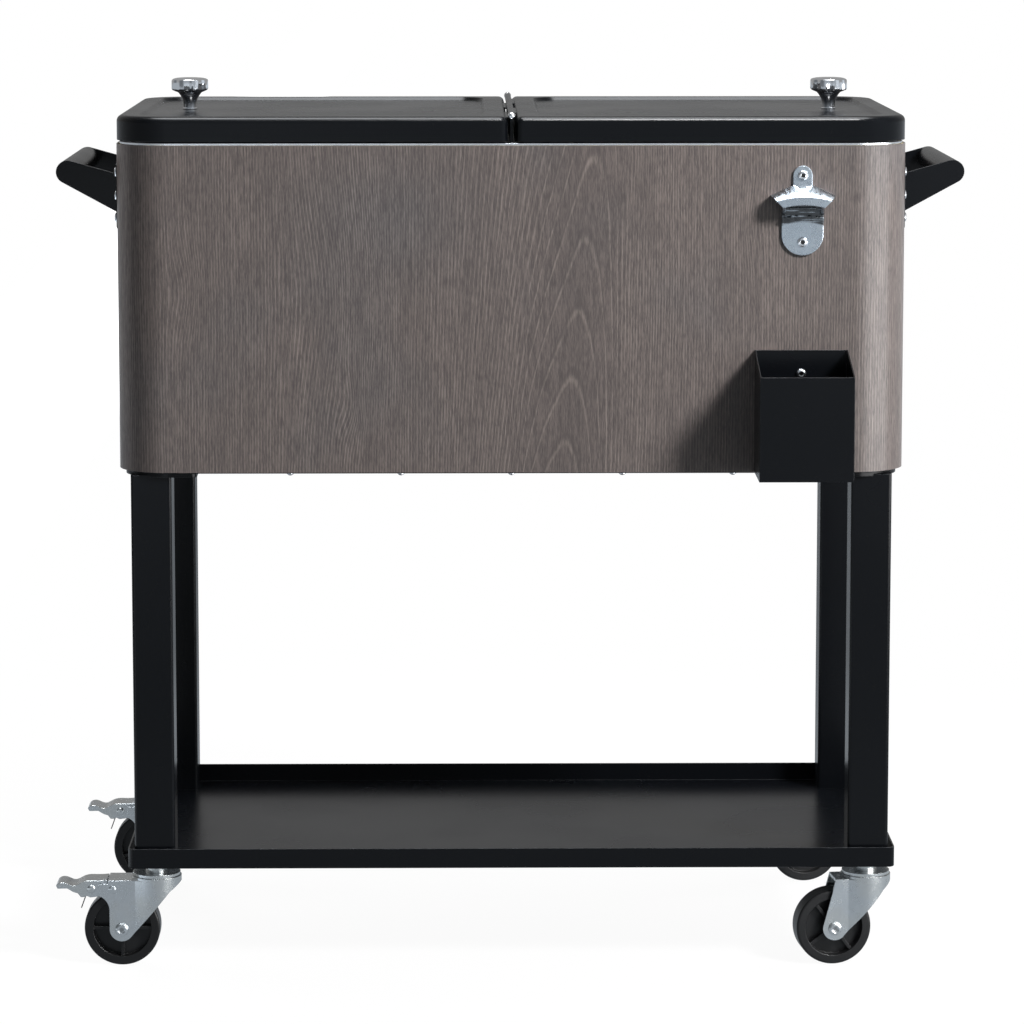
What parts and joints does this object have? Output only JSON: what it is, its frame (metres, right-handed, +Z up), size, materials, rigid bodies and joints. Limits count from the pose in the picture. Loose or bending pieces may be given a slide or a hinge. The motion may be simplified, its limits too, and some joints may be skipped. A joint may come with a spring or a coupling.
{
  "type": "patio cooler cart",
  "caption": "Insulated wood-grain ice chest on square legs with casters, hinged twin lids, side handles, low shelf tray, bottle opener and cap catcher.",
  "frame": {"origin": "on the ground, under the middle of the whole outline", "axes": "+X to the right along the tank, -Y to the front where the opener and catcher are, +Z up"},
  "size_m": [0.902, 0.484, 0.873],
  "materials": {
    "printed_shell": "satin grey-brown wood-grain print",
    "black_paint": "satin black powder coat",
    "liner_plastic": "smooth pale grey",
    "foam": null,
    "bright_steel": "bright nickel",
    "opener_zinc": "bright zinc",
    "plug_plastic": "matt",
    "drain_plastic": "satin",
    "seal_rubber": "matt",
    "knob_chrome": "polished",
    "caster_zinc": "bluish zinc plate",
    "wheel_plastic": "satin moulded black",
    "spring_steel": "blackened"
  },
  "bodies": {
    "cart": {"outer_shell": "printed_shell", "bottom_pan": "black_paint", "tank_liner": "liner_plastic", "tank_insulation": "foam", "top_rim": "bright_steel", "centre_bar": "black_paint", "hinge_rod": "bright_steel", "hinge_rod_caps": "bright_steel", "pan_rivets": "bright_steel", "bottle_opener": "opener_zinc", "cap_catcher": "black_paint", "accessory_screws": "bright_steel", "left_handle": "black_paint", "right_handle": "black_paint", "handle_screws": "bright_steel", "leg_bolts": "bright_steel", "leg_nuts": "bright_steel", "leg_plugs": "plug_plastic", "shelf_tray": "black_paint", "drain_spout": "drain_plastic", "drain_locknut": "drain_plastic", "front_left_leg": "black_paint", "front_left_caster_mount": "caster_zinc", "front_right_leg": "black_paint", "front_right_caster_mount": "caster_zinc", "rear_left_leg": "black_paint", "rear_left_caster_mount": "caster_zinc", "rear_right_leg": "black_paint", "rear_right_caster_mount": "caster_zinc"},
    "left_lid": {"left_lid_shell": "black_paint", "left_lid_tray": "liner_plastic", "left_lid_insulation": "foam", "left_knob": "knob_chrome", "left_knob_screw": "bright_steel"},
    "right_lid": {"right_lid_shell": "black_paint", "right_lid_tray": "liner_plastic", "right_lid_insulation": "foam", "right_knob": "knob_chrome", "right_knob_screw": "bright_steel"},
    "front_left_swivel": {"front_left_fork": "caster_zinc", "front_left_axle": "caster_zinc", "front_left_brake_pivots": "caster_zinc"},
    "front_left_roller": {"front_left_wheel": "wheel_plastic"},
    "front_left_brake": {"front_left_brake_pedal": "caster_zinc", "front_left_brake_spring": "spring_steel"},
    "front_right_swivel": {"front_right_fork": "caster_zinc", "front_right_axle": "caster_zinc"},
    "front_right_roller": {"front_right_wheel": "wheel_plastic"},
    "rear_left_swivel": {"rear_left_fork": "caster_zinc", "rear_left_axle": "caster_zinc", "rear_left_brake_pivots": "caster_zinc"},
    "rear_left_roller": {"rear_left_wheel": "wheel_plastic"},
    "rear_left_brake": {"rear_left_brake_pedal": "caster_zinc", "rear_left_brake_spring": "spring_steel"},
    "rear_right_swivel": {"rear_right_fork": "caster_zinc", "rear_right_axle": "caster_zinc"},
    "rear_right_roller": {"rear_right_wheel": "wheel_plastic"},
    "drain_seal": {"drain_gasket": "seal_rubber"},
    "drain_screw_cap": {"drain_cap": "drain_plastic"}
  },
  "joints": [
    {"name": "left_lid_hinge", "type": "hinge", "parent": "cart", "child": "left_lid", "pos_m": [0.001, 0.039, 0.8448], "axis": [0, 1, 0], "range_deg": [0, 165]},
    {"name": "right_lid_hinge", "type": "hinge", "parent": "cart", "child": "right_lid", "pos_m": [0.001, 0.039, 0.8448], "axis": [0, 1, 0], "range_deg": [-165, 0]},
    {"name": "front_left_caster_swivel", "type": "hinge", "parent": "cart", "child": "front_left_swivel", "pos_m": [-0.352, -0.134, 0.087], "axis": [0, 0, 1], "continuous": true},
    {"name": "front_left_wheel_spin", "type": "hinge", "parent": "front_left_swivel", "child": "front_left_roller", "pos_m": [-0.386, -0.134, 0.0375], "axis": [0, 1, 0], "continuous": true},
    {"name": "front_left_brake_pivot", "type": "hinge", "parent": "front_left_swivel", "child": "front_left_brake", "pos_m": [-0.395, -0.134, 0.078], "axis": [0, -1, 0], "range_deg": [0, 10]},
    {"name": "front_right_caster_swivel", "type": "hinge", "parent": "cart", "child": "front_right_swivel", "pos_m": [0.354, -0.134, 0.087], "axis": [0, 0, 1], "continuous": true},
    {"name": "front_right_wheel_spin", "type": "hinge", "parent": "front_right_swivel", "child": "front_right_roller", "pos_m": [0.32025, -0.13814, 0.0375], "axis": [-0.1219, 0.9925, 0], "continuous": true},
    {"name": "rear_left_caster_swivel", "type": "hinge", "parent": "cart", "child": "rear_left_swivel", "pos_m": [-0.352, 0.212, 0.087], "axis": [0, 0, 1], "continuous": true},
    {"name": "rear_left_wheel_spin", "type": "hinge", "parent": "rear_left_swivel", "child": "rear_left_roller", "pos_m": [-0.386, 0.212, 0.0375], "axis": [0, 1, 0], "continuous": true},
    {"name": "rear_left_brake_pivot", "type": "hinge", "parent": "rear_left_swivel", "child": "rear_left_brake", "pos_m": [-0.395, 0.212, 0.078], "axis": [0, -1, 0], "range_deg": [0, 10]},
    {"name": "rear_right_caster_swivel", "type": "hinge", "parent": "cart", "child": "rear_right_swivel", "pos_m": [0.354, 0.212, 0.087], "axis": [0, 0, 1], "continuous": true},
    {"name": "rear_right_wheel_spin", "type": "hinge", "parent": "rear_right_swivel", "child": "rear_right_roller", "pos_m": [0.32025, 0.20786, 0.0375], "axis": [-0.1219, 0.9925, 0], "continuous": true},
    {"name": "drain_cap_travel", "type": "slide", "parent": "cart", "child": "drain_seal", "axis": [0, 0, -1], "range_m": [0, 0.006]},
    {"name": "drain_cap_turn", "type": "hinge", "parent": "drain_seal", "child": "drain_screw_cap", "pos_m": [0.001, 0.149, 0.4818], "axis": [0, 0, -1], "range_deg": [0, 720]}
  ],
  "couplings": [
    {"joint": "drain_cap_travel", "follows": "drain_cap_turn", "m_per_rad": 0.00047746}
  ]
}
